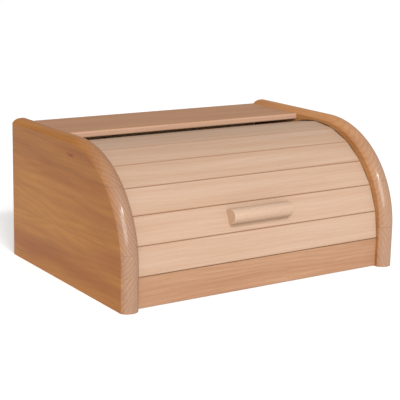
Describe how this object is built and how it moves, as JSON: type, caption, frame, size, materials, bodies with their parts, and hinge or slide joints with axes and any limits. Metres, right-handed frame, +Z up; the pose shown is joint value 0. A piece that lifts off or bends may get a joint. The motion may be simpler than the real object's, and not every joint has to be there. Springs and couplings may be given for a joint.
{
  "type": "roll-top bread bin",
  "caption": "Wooden bread bin with rounded side boards and a slatted roll-up front with a bar handle that slides on a curved track.",
  "frame": {"origin": "centre of the footprint, on the surface that the bin stands on", "axes": "+X to the right seen from the front, +Y to the back, +Z up"},
  "size_m": [0.3, 0.214, 0.1345],
  "materials": {
    "side_beech": "satin lacquer",
    "slat_beech": "satin lacquer",
    "rail_beech": "satin lacquer",
    "top_beech": "satin lacquer",
    "handle_beech": "satin lacquer",
    "back_plywood": "unfinished veneer",
    "bottom_plywood": "unfinished veneer",
    "dowel_beech": "unfinished",
    "canvas": "plain woven cotton",
    "steel_screw": "zinc plated",
    "steel_pin": "bright"
  },
  "bodies": {
    "case": {"left_side_lower_board": "side_beech", "left_side_middle_board": "side_beech", "left_side_upper_board": "side_beech", "right_side_lower_board": "side_beech", "right_side_middle_board": "side_beech", "right_side_upper_board": "side_beech", "front_rail": "rail_beech", "top_board": "top_beech", "back_panel": "back_plywood", "bottom_panel": "bottom_plywood", "rail_dowels": "dowel_beech", "back_panel_pins": "steel_pin"},
    "curtain": {"slat_1": "slat_beech", "slat_2": "slat_beech", "slat_3": "slat_beech", "slat_4": "slat_beech", "slat_5": "slat_beech", "slat_6": "slat_beech", "slat_7": "slat_beech", "slat_8": "slat_beech", "curtain_cloth": "canvas", "handle": "handle_beech", "handle_screws": "steel_screw"}
  },
  "joints": [
    {"name": "curtain_roll", "type": "hinge", "parent": "case", "child": "curtain", "pos_m": [0, 0, 0.028], "axis": [-1, 0, 0], "range_deg": [0, 68]}
  ]
}
